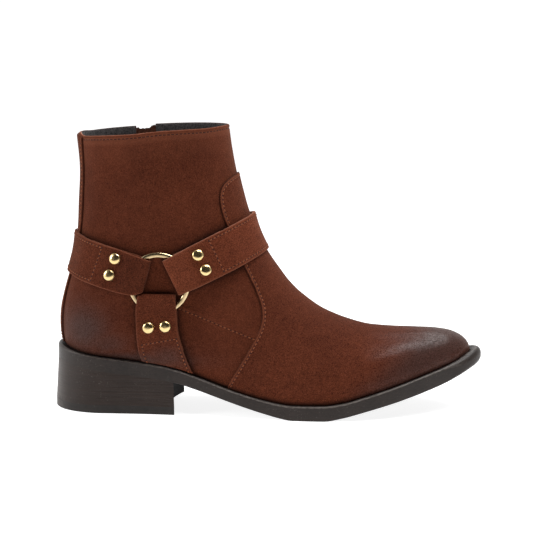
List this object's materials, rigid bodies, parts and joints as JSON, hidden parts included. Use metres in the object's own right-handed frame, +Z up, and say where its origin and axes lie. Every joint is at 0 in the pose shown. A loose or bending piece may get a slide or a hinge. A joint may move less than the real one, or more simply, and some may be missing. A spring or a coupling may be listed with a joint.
{
  "type": "harness ankle boot",
  "caption": "Right suede ankle boot with a pointed toe, block heel, inner side zip and a riveted harness of straps folded round a metal ring.",
  "frame": {"origin": "on the floor under the middle of the boot's bounding box", "axes": "+X from heel to toe, +Z up, -Y to the lateral (outer) side, which carries the ring"},
  "size_m": [0.28, 0.0914, 0.1844],
  "materials": {
    "suede": "napped suede, burnished dark at toe and heel",
    "sole": "dyed and waxed sole leather, satin",
    "top_lift": "hard rubber, matt",
    "insole": "charcoal lining leather",
    "brass": "polished",
    "zip_tape": "woven tape",
    "zip_metal": "brushed"
  },
  "bodies": {
    "boot": {"upper": "suede", "vamp": "suede", "backstay": "suede", "strap_back": "suede", "strap_front": "suede", "strap_side": "suede", "welt": "sole", "outsole": "sole", "heel": "sole", "top_lift": "top_lift", "insole": "insole", "rivet_back_upper": "brass", "rivet_back_lower": "brass", "rivet_front_upper": "brass", "rivet_front_lower": "brass", "rivet_side_rear": "brass", "rivet_side_fore": "brass", "zip_tape": "zip_tape", "zip_chain": "zip_metal", "zip_slider": "zip_metal"},
    "ring": {"ring": "brass"},
    "zip_pull": {"zip_pull": "zip_metal"}
  },
  "joints": [
    {"name": "ring_turn", "type": "hinge", "parent": "boot", "child": "ring", "pos_m": [-0.06708, -0.03685, 0.08648], "axis": [-0.0184, -0.999, -0.0412], "continuous": true},
    {"name": "zip_pull_swing", "type": "hinge", "parent": "boot", "child": "zip_pull", "pos_m": [-0.08243, 0.03762, 0.16958], "axis": [0.9858, 0.14, 0.0927], "range_deg": [0, 150]}
  ]
}
